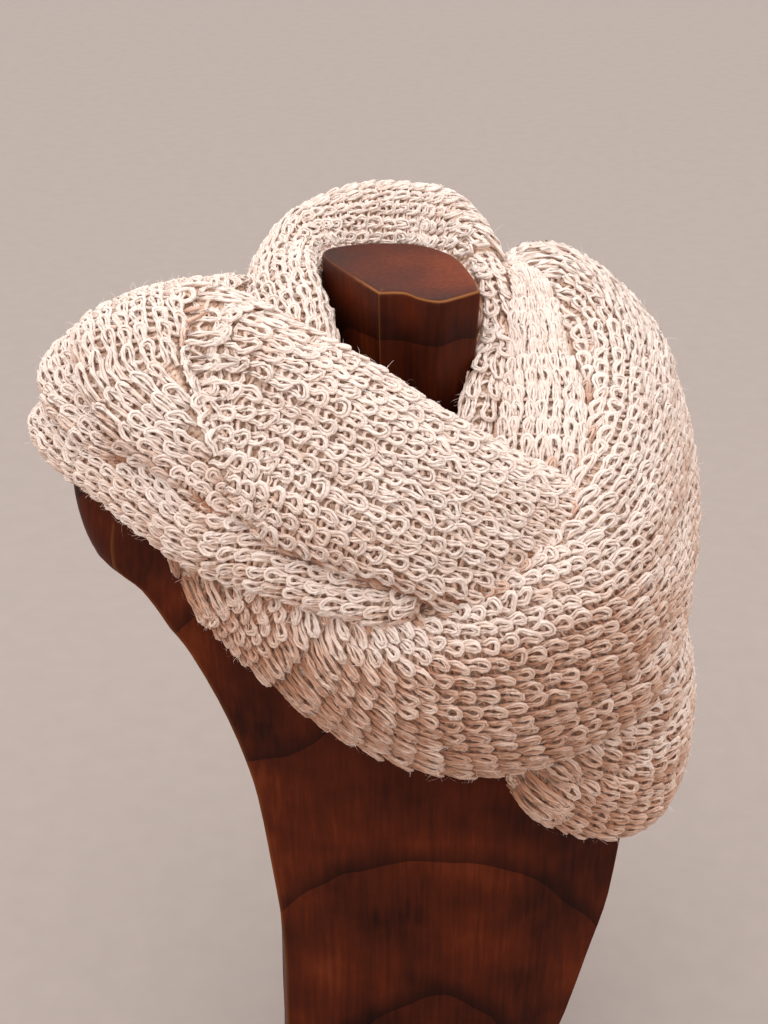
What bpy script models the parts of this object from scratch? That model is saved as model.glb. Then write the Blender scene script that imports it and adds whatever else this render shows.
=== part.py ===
"""A knitted infinity scarf, wound twice round the neck of a carved wooden bust.

The scarf is one loop of thick, loose cloth. Each stretch of it that shows is a C-shaped wall:
its outer face bulges, and its two long edges roll under. A stretch is worked out from a short
table of stations along it. Every station names the upper edge, the lower edge and how far the
cloth bulges between them. Lengths in the tables are millimetres.

+X points to the viewer's right as seen from the front, +Y to the back and +Z up. The origin is
in the plane of the bust's flat base, straight below the middle of the neck block.
"""

import math
from collections import namedtuple

import bmesh
import bpy
from mathutils import Vector

MM = 0.001

# The cloth.
WALL = 5.0  # thickness of the loose, chunky knit
GAP = 0.4  # clearance between any two pieces
SQUARENESS = 2.4  # exponent of a section's curve: 2 is an ellipse, more is flatter in the middle
TUCK_SHARE = 0.8  # the deepest rolled edge, as a share of half the stretch's width
STEPS_ACROSS = 10  # faces across a stretch, from edge to edge
STEPS_PER_STATION = 2  # faces along a stretch, between two stations

# The bust.
BUST_HEIGHT = 620.0
NECK_BASE = 560.0  # height where the shoulders end and the neck block begins
RING_STEPS = 32  # faces round the bust
TINY = 1e-9

CREAM = (0.80, 0.69, 0.60, 1.0)
REDDISH_WOOD = (0.17, 0.045, 0.018, 1.0)
KNIT_ROUGHNESS = 0.95
WOOD_ROUGHNESS = 0.38

Ring = namedtuple("Ring", "height half_width half_depth centre_x centre_y power")

BUST_RINGS = (
    # height, half width, half depth, centre x, centre y, power
    Ring(0, 94, 58, 10, 4, 2.8),
    Ring(50, 95, 56, 12, 2, 2.8),
    Ring(95, 101, 55, 18, 0, 2.8),
    Ring(145, 107, 55, 24, 0, 2.8),
    Ring(200, 115, 57, 28, 0, 2.8),
    Ring(280, 124, 62, 27, 0, 2.8),
    Ring(325, 132, 65, 24, 0, 2.8),
    Ring(390, 149, 68, 15, 0, 2.8),
    Ring(415, 159, 68, 8, 0, 2.8),
    Ring(432, 170, 64, 0, 2, 2.8),
    Ring(445, 182, 56, -9, 4, 3.2),
    Ring(464, 186, 50, -12, 5, 3.2),
    Ring(484, 187, 44, -14, 6, 3.2),
    Ring(502, 160, 43, -8, 6, 2.8),
    Ring(520, 114, 42, -4, 4, 2.5),
    Ring(540, 68, 41, 0, 2, 2.4),
)

Corner = namedtuple("Corner", "x y")

# The neck block's outline at its top, clockwise from the back left.
NECK_CORNERS = (
    Corner(-46, 38),
    Corner(-44, 18),
    Corner(-14, -38),
    Corner(0, -38),
    Corner(9, -47),
    Corner(20, -52),
    Corner(31, -45),
    Corner(43, -35),
    Corner(40, -8),
    Corner(30, 27),
    Corner(11, 47),
    Corner(-10, 51),
    Corner(-30, 48),
)
# How wide the neck block is at each height, as a share of its top.
NECK_SHARES = ((NECK_BASE, 0.92), (590, 0.97), (BUST_HEIGHT, 1.0))

Station = namedtuple("Station", "ux uy uz lx ly lz belly")

# Each table runs along its stretch: the upper edge's place (ux, uy, uz), the lower edge's place
# (lx, ly, lz), and the bulge between them.

COLLAR_BACK = (
    # from under the front diagonal, left of the neck, round the back to the right front
    Station(-34, -62, 568, -82, -60, 548, 14),
    Station(-38, -36, 588, -86, -36, 566, 16),
    Station(-44, -6, 602, -90, 2, 577, 18),
    Station(-51, 27, 610, -88, 45, 575, 24),
    Station(-46, 56, 614, -70, 90, 580, 33),
    Station(-17, 62, 614, -26, 114, 578, 46),
    Station(18, 60, 612, 28, 108, 576, 46),
    Station(36, 40, 610, 54, 70, 584, 26),
    Station(44, 8, 600, 62, 22, 596, 11),
    Station(43, -20, 580, 62, -22, 577, 9),
    Station(34, -48, 560, 54, -52, 557, 8),
    Station(26, -72, 532, 46, -76, 530, 8),
)

INNER_RIGHT = (
    # from the top of the right shoulder down the front, under the front diagonal
    Station(52, 64, 594, 68, 72, 588, 8),
    Station(64, 26, 605, 83, 16, 603, 8),
    Station(62, -5, 592, 92, -10, 590, 8),
    Station(59, -30, 572, 97, -35, 578, 9),
    Station(54, -58, 552, 101, -58, 565, 9),
    Station(45, -75, 530, 102, -88, 545, 8),
    Station(38, -90, 505, 100, -102, 522, 8),
)

FRONT_DIAGONAL = (
    # from the fold line on the left shoulder down to the right, under the outer loop
    Station(-136, -5, 611, -68, -113, 498, 30),
    Station(-100, -15, 613, -40, -121, 490, 36),
    Station(-58, -48, 603, -5, -125, 479, 38),
    Station(-20, -67, 588, 25, -122, 462, 36),
    Station(20, -82, 567, 55, -112, 448, 32),
    Station(64, -95, 546, 85, -102, 436, 26),
    Station(105, -98, 526, 110, -92, 430, 18),
)

SHOULDER_FOLD = (
    # from its pointed end at the front, up the left shoulder and round to the back
    Station(-40, -112, 502, -56, -103, 488, 7),
    Station(-74, -107, 519, -92, -101, 503, 8),
    Station(-95, -98, 542, -130, -91, 530, 9),
    Station(-110, -86, 566, -158, -77, 547, 12),
    Station(-122, -65, 590, -177, -57, 562, 14),
    Station(-116, -32, 605, -187, -32, 582, 17),
    Station(-97, 6, 601, -188, 5, 573, 20),
    Station(-84, 48, 588, -172, 50, 556, 18),
    Station(-70, 90, 572, -126, 96, 538, 13),
    Station(-36, 92, 566, -72, 98, 530, 8),
)

UNDER_FOLD = (
    # from its pointed end at the front, round the left shoulder to the back
    Station(-106, -88, 530, -122, -80, 516, 7),
    Station(-130, -82, 541, -149, -73, 526, 8),
    Station(-150, -69, 548, -172, -61, 531, 8),
    Station(-165, -50, 556, -188, -50, 538, 8),
    Station(-175, -30, 568, -204, -33, 546, 10),
    Station(-182, -5, 573, -210, -8, 553, 12),
    Station(-180, 30, 568, -202, 30, 546, 12),
    Station(-156, 66, 556, -172, 68, 534, 10),
    Station(-104, 74, 542, -116, 76, 524, 7),
)

LOWER_FOLD = (
    # from its pointed end at the middle of the chest to the left shoulder and the back
    Station(16, -126, 477, 12, -128, 461, 7),
    Station(-12, -126, 484, -14, -128, 461, 8),
    Station(-55, -118, 496, -52, -118, 465, 8),
    Station(-85, -108, 512, -81, -108, 471, 10),
    Station(-110, -98, 522, -113, -94, 473, 11),
    Station(-130, -86, 530, -148, -76, 490, 12),
    Station(-150, -68, 536, -170, -60, 500, 12),
    Station(-168, -48, 540, -193, -42, 506, 12),
    Station(-182, -25, 545, -212, -25, 516, 12),
    Station(-188, 2, 545, -220, 2, 518, 12),
    Station(-182, 38, 540, -206, 38, 512, 12),
    Station(-156, 74, 532, -172, 76, 502, 11),
    Station(-106, 84, 520, -116, 86, 496, 8),
)

FRONT_LOWER = (
    # from under the lower fold, across the chest, round the right side to the back
    Station(-108, -66, 530, -160, -50, 508, 7),
    Station(-85, -92, 515, -140, -76, 492, 8),
    Station(-70, -102, 482, -124, -84, 452, 10),
    Station(-50, -110, 468, -96, -86, 418, 14),
    Station(-30, -120, 463, -60, -88, 384, 19),
    Station(-8, -126, 463, -22, -90, 358, 24),
    Station(13, -129, 468, 17, -94, 344, 28),
    Station(40, -131, 479, 56, -96, 345, 31),
    Station(65, -130, 493, 95, -93, 357, 32),
    Station(84, -124, 508, 131, -78, 372, 34),
    Station(97, -108, 532, 149, -45, 386, 34),
    Station(101, -82, 551, 159, 0, 402, 36),
    Station(99, -50, 568, 163, 45, 424, 43),
    Station(92, -15, 588, 152, 85, 450, 50),
    Station(82, 20, 604, 124, 118, 478, 47),
    Station(66, 52, 606, 90, 124, 496, 37),
    Station(48, 62, 588, 52, 96, 505, 18),
)

RIGHT_LOBE = (
    # from under the outer loop at the chest, round the right side to the back
    Station(60, -88, 350, 58, -82, 325, 7),
    Station(75, -92, 365, 74, -80, 303, 12),
    Station(100, -90, 375, 100, -76, 282, 16),
    Station(125, -82, 385, 128, -66, 270, 21),
    Station(148, -60, 395, 150, -50, 268, 23),
    Station(160, -25, 400, 164, -22, 280, 22),
    Station(162, 20, 405, 160, 15, 300, 19),
    Station(150, 68, 432, 143, 58, 330, 17),
    Station(124, 92, 450, 118, 84, 350, 14),
    Station(92, 88, 455, 88, 84, 365, 10),
)

BACK_LOW = (
    # from inside the outer loop at the right, round the back to inside the left folds
    Station(118, 15, 560, 124, 20, 375, 10),
    Station(102, 72, 575, 112, 80, 368, 22),
    Station(60, 96, 588, 62, 104, 376, 27),
    Station(0, 104, 592, 0, 108, 396, 29),
    Station(-60, 94, 582, -65, 98, 416, 27),
    Station(-112, 66, 566, -118, 68, 440, 24),
    Station(-146, 28, 552, -154, 30, 468, 18),
    Station(-156, -15, 540, -166, -20, 488, 10),
)

Stretch = namedtuple("Stretch", "name stations core tuck curl")

# core is the point that the cloth bulges away from, tuck the depth of the rolled edges and curl
# the angle, in degrees, that they turn through. The list runs from the outermost stretch in.
STRETCHES = (
    # name, stations, core, tuck, curl
    Stretch("back_low", BACK_LOW, (0, 0, 450), 16, 50),
    Stretch("lower_fold", LOWER_FOLD, (0, 10, 430), 8, 50),
    Stretch("shoulder_fold", SHOULDER_FOLD, (-60, 10, 480), 12, 50),
    Stretch("under_fold", UNDER_FOLD, (-100, 0, 500), 8, 50),
    Stretch("front_lower", FRONT_LOWER, (0, 10, 430), 22, 50),
    Stretch("front_diagonal", FRONT_DIAGONAL, (0, 20, 430), 20, 50),
    Stretch("right_lobe", RIGHT_LOBE, (60, 0, 400), 18, 50),
    Stretch("inner_right", INNER_RIGHT, (40, 0, 400), 8, 40),
    Stretch("collar_back", COLLAR_BACK, (0, 20, 250), 10, 40),
)


def clear_scene():
    for item in list(bpy.data.objects):
        bpy.data.objects.remove(item, do_unlink=True)


def material(name, colour, roughness):
    made = bpy.data.materials.new(name)
    made.use_nodes = True
    shader = made.node_tree.nodes["Principled BSDF"]
    shader.inputs["Base Color"].default_value = colour
    shader.inputs["Roughness"].default_value = roughness
    made.diffuse_color = colour
    return made


def signed_power(value, exponent):
    return math.copysign(abs(value) ** exponent, value)


def between(rows, place):
    """The row at a fractional place in a table, on a smooth curve through all its rows."""
    last = len(rows) - 1
    index = min(int(place), last - 1)
    t = place - index
    here, there = rows[index], rows[index + 1]
    before = rows[index - 1] if index > 0 else [2 * a - b for a, b in zip(here, there)]
    after = rows[index + 2] if index + 2 <= last else [2 * b - a for a, b in zip(here, there)]
    return type(here)(
        *(
            b + 0.5 * t * (c - a + t * (2 * a - 5 * b + 4 * c - d + t * (3 * (b - c) + d - a)))
            for a, b, c, d in zip(before, here, there, after)
        )
    )


def section(station, stretch, angles):
    """The middle of the wall across one station, as points in millimetres."""
    upper = Vector((station.ux, station.uy, station.uz))
    lower = Vector((station.lx, station.ly, station.lz))
    middle = (upper + lower) / 2
    along = (lower - upper) / 2
    tuck = min(stretch.tuck, TUCK_SHARE * along.length)
    out = middle - Vector(stretch.core)
    out -= out.project(along)
    out.normalize()
    points = []
    for angle in angles:
        depth = station.belly if abs(angle) <= math.pi / 2 else tuck
        points.append(
            middle
            + along * signed_power(math.sin(angle), 2 / SQUARENESS)
            + out * depth * signed_power(math.cos(angle), 2 / SQUARENESS)
        )
    return points


def surface(stretch, extend):
    """The middle of the stretch's wall, as rows of points. Its ends go on by extend."""
    last = len(stretch.stations) - 1
    count = last * STEPS_PER_STATION
    reach = math.radians(90 + stretch.curl)
    angles = [reach * (2 * k / STEPS_ACROSS - 1) for k in range(STEPS_ACROSS + 1)]
    rows = [
        section(between(stretch.stations, last * k / count), stretch, angles)
        for k in range(count + 1)
    ]
    if extend:
        rows = [stretched(row, extend) for row in rows]
        rows = [list(row) for row in zip(*(stretched(line, extend) for line in zip(*rows)))]
    return rows


def stretched(line, extend):
    """The points of a line whose two ends are moved outward."""
    line = list(line)
    first = (line[0] - line[1]).normalized() * extend
    final = (line[-1] - line[-2]).normalized() * extend
    line[0] = line[0] + first
    line[-1] = line[-1] + final
    return line


def normals(rows):
    """The direction straight out of the wall at each point."""
    high, wide = len(rows) - 1, len(rows[0]) - 1
    found = []
    for i, row in enumerate(rows):
        line = []
        for k in range(wide + 1):
            down = rows[min(i + 1, high)][k] - rows[max(i - 1, 0)][k]
            across = row[min(k + 1, wide)] - row[max(k - 1, 0)]
            line.append(down.cross(across).normalized())
        found.append(line)
    return found


def wall_mesh(name, rows, thickness):
    """A closed wall: its outer face, its inner face and the rim between them."""
    directions = normals(rows)
    shape = bmesh.new()
    sides = []
    for half in (thickness / 2, -thickness / 2):
        sides.append(
            [
                [shape.verts.new((point + way * half) * MM) for point, way in zip(row, line)]
                for row, line in zip(rows, directions)
            ]
        )
    for side in sides:
        for row, after in zip(side, side[1:]):
            for k in range(len(row) - 1):
                shape.faces.new((row[k], after[k], after[k + 1], row[k + 1]))
    outer, inner = (
        side[0] + [row[-1] for row in side[1:]] + side[-1][-2::-1] + [row[0] for row in side[-2:0:-1]]
        for side in sides
    )
    for k in range(len(outer)):
        shape.faces.new((outer[k - 1], outer[k], inner[k], inner[k - 1]))
    bmesh.ops.recalc_face_normals(shape, faces=shape.faces)
    bmesh.ops.triangulate(shape, faces=shape.faces)
    mesh = bpy.data.meshes.new(name)
    shape.to_mesh(mesh)
    shape.free()
    return mesh


def place(name, mesh, look):
    made = bpy.data.objects.new(name, mesh)
    bpy.context.scene.collection.objects.link(made)
    if look:
        mesh.materials.append(look)
    mesh.shade_smooth()
    return made


def neck_radius(angle):
    """How far the neck block's outline lies from its centre, in one direction."""
    way = Vector((math.cos(angle), math.sin(angle)))
    for first, second in zip(NECK_CORNERS, NECK_CORNERS[1:] + NECK_CORNERS[:1]):
        a = Vector(first)
        edge = Vector(second) - a
        turn = way.x * edge.y - way.y * edge.x
        if abs(turn) < TINY:
            continue
        share = (way.y * a.x - way.x * a.y) / turn
        reach = (a.x * edge.y - a.y * edge.x) / turn
        if -TINY <= share <= 1 + TINY and reach > 0:
            return reach
    raise ValueError("the neck's corners don't go round its centre")


def bust_mesh(name, grow):
    """The bust as one closed loft, grown by a clearance on every side."""
    even = {2 * math.pi * k / RING_STEPS for k in range(RING_STEPS)}
    corners = {math.atan2(c.y, c.x) % (2 * math.pi) for c in NECK_CORNERS}
    angles = sorted(even | corners)
    rings = []
    for ring in BUST_RINGS:
        rings.append(
            [
                Vector(
                    (
                        ring.centre_x
                        + (ring.half_width + grow) * signed_power(math.cos(a), 2 / ring.power),
                        ring.centre_y
                        + (ring.half_depth + grow) * signed_power(math.sin(a), 2 / ring.power),
                        ring.height,
                    )
                )
                for a in angles
            ]
        )
    for height, share in NECK_SHARES:
        reach = [neck_radius(a) * share + grow for a in angles]
        top = height + (grow if height == BUST_HEIGHT else 0)
        rings.append([Vector((r * math.cos(a), r * math.sin(a), top)) for a, r in zip(angles, reach)])
    shape = bmesh.new()
    loops = [[shape.verts.new(point * MM) for point in ring] for ring in rings]
    for low, high in zip(loops, loops[1:]):
        for k in range(len(low)):
            shape.faces.new((low[k - 1], low[k], high[k], high[k - 1]))
    shape.faces.new(loops[0])
    shape.faces.new(loops[-1])
    bmesh.ops.recalc_face_normals(shape, faces=shape.faces)
    bmesh.ops.triangulate(shape, faces=shape.faces)
    mesh = bpy.data.meshes.new(name)
    shape.to_mesh(mesh)
    shape.free()
    return mesh


def cut(piece, cutter):
    """Takes the cutter's space out of a piece."""
    step = piece.modifiers.new("cut", "BOOLEAN")
    step.operation = "DIFFERENCE"
    step.solver = "EXACT"
    step.object = cutter
    graph = bpy.context.evaluated_depsgraph_get()
    made = bpy.data.meshes.new_from_object(piece.evaluated_get(graph))
    piece.modifiers.clear()
    piece.data = made


def keep_largest(piece):
    """Drops the scraps that a cut leaves behind the cloth."""
    shape = bmesh.new()
    shape.from_mesh(piece.data)
    left = set(shape.faces)
    bodies = []
    while left:
        body = set()
        queue = [left.pop()]
        while queue:
            face = queue.pop()
            body.add(face)
            for edge in face.edges:
                for other in edge.link_faces:
                    if other in left:
                        left.remove(other)
                        queue.append(other)
        bodies.append(body)
    bodies.sort(key=lambda body: sum(face.calc_area() for face in body))
    for body in bodies[:-1]:
        bmesh.ops.delete(shape, geom=list(body), context="FACES")
    bmesh.ops.triangulate(shape, faces=shape.faces)
    shape.to_mesh(piece.data)
    shape.free()


def build():
    clear_scene()
    knit = material("cream_knit", CREAM, KNIT_ROUGHNESS)
    wood = material("reddish_wood", REDDISH_WOOD, WOOD_ROUGHNESS)
    place("bust_form", bust_mesh("bust_form", 0), wood)
    cutters = [place("bust_clearance", bust_mesh("bust_clearance", GAP), None)]
    for stretch in STRETCHES:
        piece = place(stretch.name, wall_mesh(stretch.name, surface(stretch, 0), WALL), knit)
        for cutter in cutters:
            cut(piece, cutter)
        keep_largest(piece)
        clearance = wall_mesh("clearance", surface(stretch, GAP), WALL + 2 * GAP)
        cutters.append(place(stretch.name + "_clearance", clearance, None))
    for cutter in cutters:
        bpy.data.objects.remove(cutter, do_unlink=True)


build()
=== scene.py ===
"""The looks of a knitted infinity scarf on its carved wooden bust.

The scarf is knitted loop by loop. Each stretch of it has a thin backing shell and, over that, a
chunky rib: chains of loops that run along the cloth, with rungs of yarn across the valleys
between them. Lengths in the tables are millimetres, in the frame's axes.
"""

import math
from collections import namedtuple

import bmesh
import bpy
import numpy as np
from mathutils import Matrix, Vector
from mathutils.bvhtree import BVHTree


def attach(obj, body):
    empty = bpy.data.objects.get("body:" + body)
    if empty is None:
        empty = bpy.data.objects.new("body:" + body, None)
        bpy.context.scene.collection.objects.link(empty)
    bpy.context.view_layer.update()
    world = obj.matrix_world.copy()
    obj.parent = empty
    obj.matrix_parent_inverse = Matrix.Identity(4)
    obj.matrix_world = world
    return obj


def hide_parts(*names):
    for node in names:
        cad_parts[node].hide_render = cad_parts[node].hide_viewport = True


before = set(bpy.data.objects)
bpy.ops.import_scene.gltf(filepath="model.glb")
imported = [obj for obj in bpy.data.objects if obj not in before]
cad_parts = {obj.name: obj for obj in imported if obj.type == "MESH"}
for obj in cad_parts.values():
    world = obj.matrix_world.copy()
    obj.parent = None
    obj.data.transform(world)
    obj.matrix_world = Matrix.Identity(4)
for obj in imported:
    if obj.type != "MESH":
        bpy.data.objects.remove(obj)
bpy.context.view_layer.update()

MM = 0.001
SEED = 7
QUARTER = math.pi / 2
FULL_TURN = 2 * math.pi

# The camera: it stands in front of the bust and looks down on it.
PICTURE_HEIGHT = 1024
FOCAL_PIXELS = 1785
SENSOR_WIDTH = 36.0  # along the picture's longer side
CAMERA_PLACE = (-11.0, -983.0, 964.0)
CAMERA_TILT = 27.0  # degrees below the horizon

# The pale floor, and the sky's band above the horizon where it grows to its full strength.
FLOOR_COLOUR = (0.36, 0.304, 0.28)
SKY_BAND = 0.5
SKY_STRENGTH = 1.42
FLOOR_SHADES = (0.94, 1.06)  # of its colour, in soft patches

# The cloth's form, as in the part.
SQUARENESS = 2.4
TUCK_SHARE = 0.8
BUST_HEIGHT = 620.0
NECK_BASE = 560.0

# Height, half width, half depth, the centre's two places, and how square the outline is.
BUST_RINGS = (
    (0, 94, 58, 10, 4, 2.8),
    (50, 95, 56, 12, 2, 2.8),
    (95, 101, 55, 18, 0, 2.8),
    (145, 107, 55, 24, 0, 2.8),
    (200, 115, 57, 28, 0, 2.8),
    (280, 124, 62, 27, 0, 2.8),
    (325, 132, 65, 24, 0, 2.8),
    (390, 149, 68, 15, 0, 2.8),
    (415, 159, 68, 8, 0, 2.8),
    (432, 170, 64, 0, 2, 2.8),
    (445, 182, 56, -9, 4, 3.2),
    (464, 186, 50, -12, 5, 3.2),
    (484, 187, 44, -14, 6, 3.2),
    (502, 160, 43, -8, 6, 2.8),
    (520, 114, 42, -4, 4, 2.5),
    (540, 68, 41, 0, 2, 2.4),
)

# The neck block's outline at its top, from the back left round the front and back again, and
# which of its corners are sharp.
NECK_CORNERS = (
    (-46, 38),
    (-44, 18),
    (-14, -38),
    (0, -38),
    (9, -47),
    (20, -52),
    (31, -45),
    (43, -35),
    (40, -8),
    (30, 27),
    (11, 47),
    (-10, 51),
    (-30, 48),
)
NECK_SHARP = (2, 7)
# Height, width as a share of the top, and how far the worn rim is drawn in.
NECK_ROWS = (
    (NECK_BASE, 0.92, 0),
    (575, 0.945, 0),
    (590, 0.97, 0),
    (605, 0.985, 0),
    (617, 1.0, 0),
    (618.6, 1.0, 0.3),
    (619.6, 1.0, 1.0),
    (BUST_HEIGHT, 1.0, 2.2),
    (BUST_HEIGHT, 1.0, 5.0),
)
NECK_STEPS = 8  # between two corners of the neck's outline
BUST_STEPS = 120  # points round each row
BUST_ROWS = 4  # rows between two rings of the table
# The carved corner at the front of each side, below the shoulders.
CARVED_TOP = 470.0
CARVED_FADE = 60.0
CORNER_INSET = 5.0
CORNER_DEPTH = 0.72  # as a share of the half depth
CORNER_SHARE = 0.42  # of the quarter turn from the side to the front
# In radians: how far beside a sharp corner points are added, and how near a point is the corner.
MARK_SPACE = 0.02
MARK_WIDTH = 0.001
# How worn the corners and the neck's rim are. The rim is most worn in front, from its fade on.
CORNER_WEAR = 0.25
RIM_WEAR = 0.8
RIM_LEAST = 0.25
RIM_FADE = 30

# The stations of each stretch: its upper edge, its lower edge, and how far it bellies out.

COLLAR_BACK = (
    # from under the front diagonal, left of the neck, round the back to the right front
    (-34, -62, 568, -82, -60, 548, 14),
    (-38, -36, 588, -86, -36, 566, 16),
    (-44, -6, 602, -90, 2, 577, 18),
    (-51, 27, 610, -88, 45, 575, 24),
    (-46, 56, 614, -70, 90, 580, 33),
    (-17, 62, 614, -26, 114, 578, 46),
    (18, 60, 612, 28, 108, 576, 46),
    (36, 40, 610, 54, 70, 584, 26),
    (44, 8, 600, 62, 22, 596, 11),
    (43, -20, 580, 62, -22, 577, 9),
    (34, -48, 560, 54, -52, 557, 8),
    (26, -72, 532, 46, -76, 530, 8),
)

INNER_RIGHT = (
    # from the top of the right shoulder down the front, under the front diagonal
    (52, 64, 594, 68, 72, 588, 8),
    (64, 26, 605, 83, 16, 603, 8),
    (62, -5, 592, 92, -10, 590, 8),
    (59, -30, 572, 97, -35, 578, 9),
    (54, -58, 552, 101, -58, 565, 9),
    (45, -75, 530, 102, -88, 545, 8),
    (38, -90, 505, 100, -102, 522, 8),
)

FRONT_DIAGONAL = (
    # from under the fold on the left shoulder down to the right, under the outer loop
    (-147, -2, 610, -77, -111, 500, 28),
    (-136, -5, 611, -68, -113, 498, 30),
    (-100, -15, 613, -40, -121, 490, 36),
    (-58, -48, 603, -5, -125, 479, 38),
    (-20, -67, 588, 25, -122, 462, 36),
    (20, -82, 567, 55, -112, 448, 32),
    (64, -95, 546, 85, -102, 436, 26),
    (105, -98, 526, 110, -92, 430, 18),
)

SHOULDER_FOLD = (
    # from its pointed end at the front, up the left shoulder and round to the back
    (-40, -112, 502, -56, -103, 488, 7),
    (-74, -107, 519, -92, -101, 503, 8),
    (-95, -98, 542, -130, -91, 530, 9),
    (-110, -86, 566, -158, -77, 547, 12),
    (-122, -65, 590, -177, -57, 562, 14),
    (-116, -32, 605, -187, -32, 582, 17),
    (-97, 6, 601, -188, 5, 573, 20),
    (-84, 48, 588, -172, 50, 556, 18),
    (-70, 90, 572, -126, 96, 538, 13),
    (-36, 92, 566, -72, 98, 530, 8),
)

UNDER_FOLD = (
    # from its pointed end at the front, round the left shoulder to the back
    (-106, -88, 530, -122, -80, 516, 7),
    (-130, -82, 541, -149, -73, 526, 8),
    (-150, -69, 548, -172, -61, 531, 8),
    (-165, -50, 556, -188, -50, 538, 8),
    (-175, -30, 568, -204, -33, 546, 10),
    (-182, -5, 573, -210, -8, 553, 12),
    (-180, 30, 568, -202, 30, 546, 12),
    (-156, 66, 556, -172, 68, 534, 10),
    (-104, 74, 542, -116, 76, 524, 7),
)

LOWER_FOLD = (
    # from its pointed end at the middle of the chest to the left shoulder and the back
    (16, -126, 477, 12, -128, 461, 7),
    (-12, -126, 484, -14, -128, 461, 8),
    (-55, -118, 496, -52, -118, 465, 8),
    (-85, -108, 512, -81, -108, 471, 10),
    (-110, -98, 522, -113, -94, 473, 11),
    (-130, -86, 530, -148, -76, 490, 12),
    (-150, -68, 536, -170, -60, 500, 12),
    (-168, -48, 540, -193, -42, 506, 12),
    (-182, -25, 545, -212, -25, 516, 12),
    (-188, 2, 545, -220, 2, 518, 12),
    (-182, 38, 540, -206, 38, 512, 12),
    (-156, 74, 532, -172, 76, 502, 11),
    (-106, 84, 520, -116, 86, 496, 8),
)

FRONT_LOWER = (
    # from under the lower fold, across the chest, round the right side to the back
    (-108, -66, 530, -160, -50, 508, 7),
    (-85, -92, 515, -140, -76, 492, 8),
    (-70, -102, 482, -124, -84, 452, 10),
    (-50, -110, 468, -96, -86, 418, 14),
    (-30, -120, 463, -60, -88, 384, 19),
    (-8, -126, 463, -22, -90, 358, 24),
    (13, -129, 468, 17, -94, 344, 28),
    (40, -131, 479, 56, -96, 345, 31),
    (65, -130, 493, 95, -93, 357, 32),
    (84, -124, 508, 131, -78, 372, 34),
    (97, -108, 532, 149, -45, 386, 34),
    (101, -82, 551, 159, 0, 402, 36),
    (99, -50, 568, 163, 45, 424, 43),
    (92, -15, 588, 152, 85, 450, 50),
    (82, 20, 604, 124, 118, 478, 47),
    (66, 52, 606, 90, 124, 496, 37),
    (48, 62, 588, 52, 96, 505, 18),
)

RIGHT_LOBE = (
    # from under the outer loop at the chest, round the right side to the back
    (60, -88, 350, 58, -82, 325, 7),
    (75, -92, 365, 74, -80, 303, 12),
    (100, -90, 375, 100, -76, 282, 16),
    (125, -82, 385, 128, -66, 270, 21),
    (148, -60, 395, 150, -50, 268, 23),
    (160, -25, 400, 164, -22, 280, 22),
    (162, 20, 405, 160, 15, 300, 19),
    (150, 68, 432, 143, 58, 330, 17),
    (124, 92, 450, 118, 84, 350, 14),
    (92, 88, 455, 88, 84, 365, 10),
)

BACK_LOW = (
    # from inside the outer loop at the right, round the back to inside the left folds
    (118, 15, 560, 124, 20, 375, 10),
    (102, 72, 575, 112, 80, 368, 22),
    (60, 96, 588, 62, 104, 376, 27),
    (0, 104, 592, 0, 108, 396, 29),
    (-60, 94, 582, -65, 98, 416, 27),
    (-112, 66, 566, -118, 68, 440, 24),
    (-146, 28, 552, -154, 30, 468, 18),
    (-156, -15, 540, -166, -20, 488, 10),
)

# How each stretch is knitted. core, tuck and curl shape its section as in the part. rib is the
# space from one chain of loops to the next and stitch the length of a loop along its chain; the
# loops open towards heading, +1 along the table and -1 against it. The chains are counted from
# the lower edge, the upper edge, or spread evenly between both. relief is how deep the valleys
# between the chains are, against the loop's own table, and under how much painted shade darkens
# the colour where the cloth faces the ground.
Stretch = namedtuple("Stretch", "name stations core tuck curl rib stitch heading counted relief under")
OTHER_EDGE = {"lower": "upper", "upper": "lower"}
# Chains that run along the other edge too and lie over the ends of the rows there.
EDGING = {"shoulder_fold": 2, "lower_fold": 1}
EDGING_RISE = 2.0
SEAM_DROP = 1.6  # how far the loops in the seams between folds sink in
PAINTED_SEAM_SHADE = 0.45  # and how much painted shade darkens them

STRETCHES = (
    Stretch("back_low", BACK_LOW, (0, 0, 450), 16, 50, 12.5, 13.0, 1, "even", 1.0, 0.5),
    Stretch("lower_fold", LOWER_FOLD, (0, 10, 430), 8, 50, 8.5, 11.0, 1, "lower", 0.9, 0.4),
    Stretch("shoulder_fold", SHOULDER_FOLD, (-60, 10, 480), 12, 50, 10.5, 11.5, 1, "lower", 0.7, 0.4),
    Stretch("under_fold", UNDER_FOLD, (-100, 0, 500), 8, 50, 9.0, 11.5, 1, "lower", 0.9, 0.5),
    Stretch("front_lower", FRONT_LOWER, (0, 10, 430), 22, 50, 10.5, 12.0, 1, "lower", 1.2, 0.9),
    Stretch("front_diagonal", FRONT_DIAGONAL, (0, 20, 430), 20, 50, 13.5, 11.5, 1, "even", 0.7, 0.4),
    Stretch("right_lobe", RIGHT_LOBE, (60, 0, 400), 18, 50, 10.5, 12.0, 1, "lower", 1.2, 0.9),
    Stretch("inner_right", INNER_RIGHT, (40, 0, 400), 8, 40, 8.5, 11.0, -1, "even", 0.9, 0.5),
    Stretch("collar_back", COLLAR_BACK, (0, 20, 250), 10, 40, 10.0, 11.5, 1, "upper", 0.9, 0.5),
)

# Soft creases of each stretch: the path in shares of the stretch's length and
# width, how wide the crease is, and its depth, below zero for a trough and above for a ridge.
CREASE_STEPS = 40
CREASE_FADE = 0.6  # how suddenly a crease ends

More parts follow.
